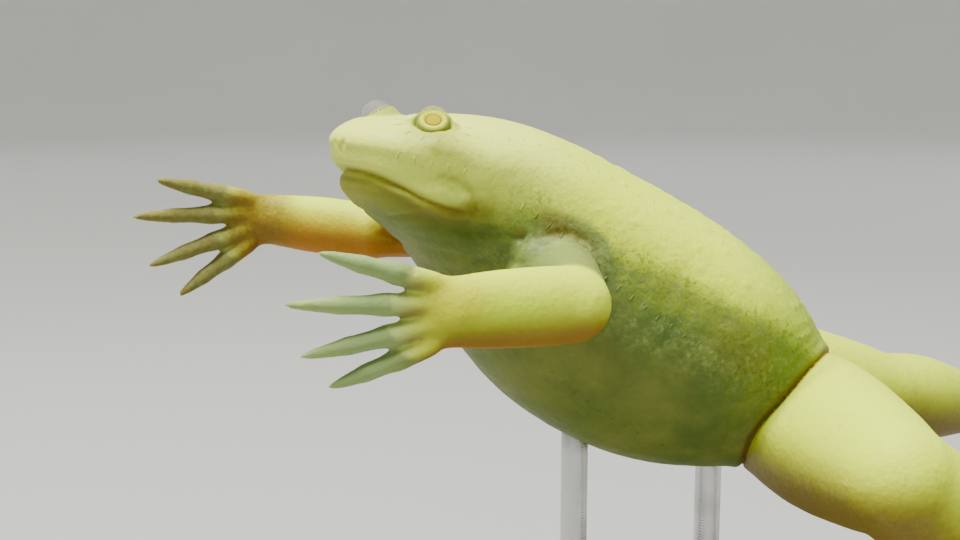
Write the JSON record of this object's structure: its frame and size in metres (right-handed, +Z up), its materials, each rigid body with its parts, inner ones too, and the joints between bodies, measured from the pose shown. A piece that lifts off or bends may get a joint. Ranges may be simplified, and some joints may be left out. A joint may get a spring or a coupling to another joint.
{
  "type": "african clawed frog",
  "caption": "Life-size albino African clawed frog in a floating pose, arms reaching forward, webbed hind feet trailing, held over a flat display stand by thin rods.",
  "frame": {"origin": "middle of the underside of the stand's base", "axes": "+Z up, the frog's body points to -Y, its left side is +X; its head is turned 15 degrees to its left"},
  "size_m": [0.1559, 0.2209, 0.1036],
  "materials": {
    "skin": "smooth, wet, pale yellow-green with a darker mottled flank",
    "eye": "clear and glossy over a pale gold iris",
    "claw": "dark horn",
    "stand_base": "satin black",
    "stand_rod": "satin"
  },
  "bodies": {
    "root": {"claw_left_1": "claw", "claw_left_2": "claw", "claw_left_3": "claw", "claw_right_1": "claw", "claw_right_2": "claw", "claw_right_3": "claw", "eye_left": "eye", "eye_right": "eye", "foot_left": "skin", "foot_right": "skin", "forearm_left": "skin", "forearm_right": "skin", "hand_left": "skin", "hand_right": "skin", "head": "skin", "jaw": "skin", "shank_left": "skin", "shank_right": "skin", "stand_base": "stand_base", "stand_rod_front": "stand_rod", "stand_rod_rear": "stand_rod", "thigh_left": "skin", "thigh_right": "skin", "torso": "skin", "upper_arm_left": "skin", "upper_arm_right": "skin"}
  },
  "joints": []
}
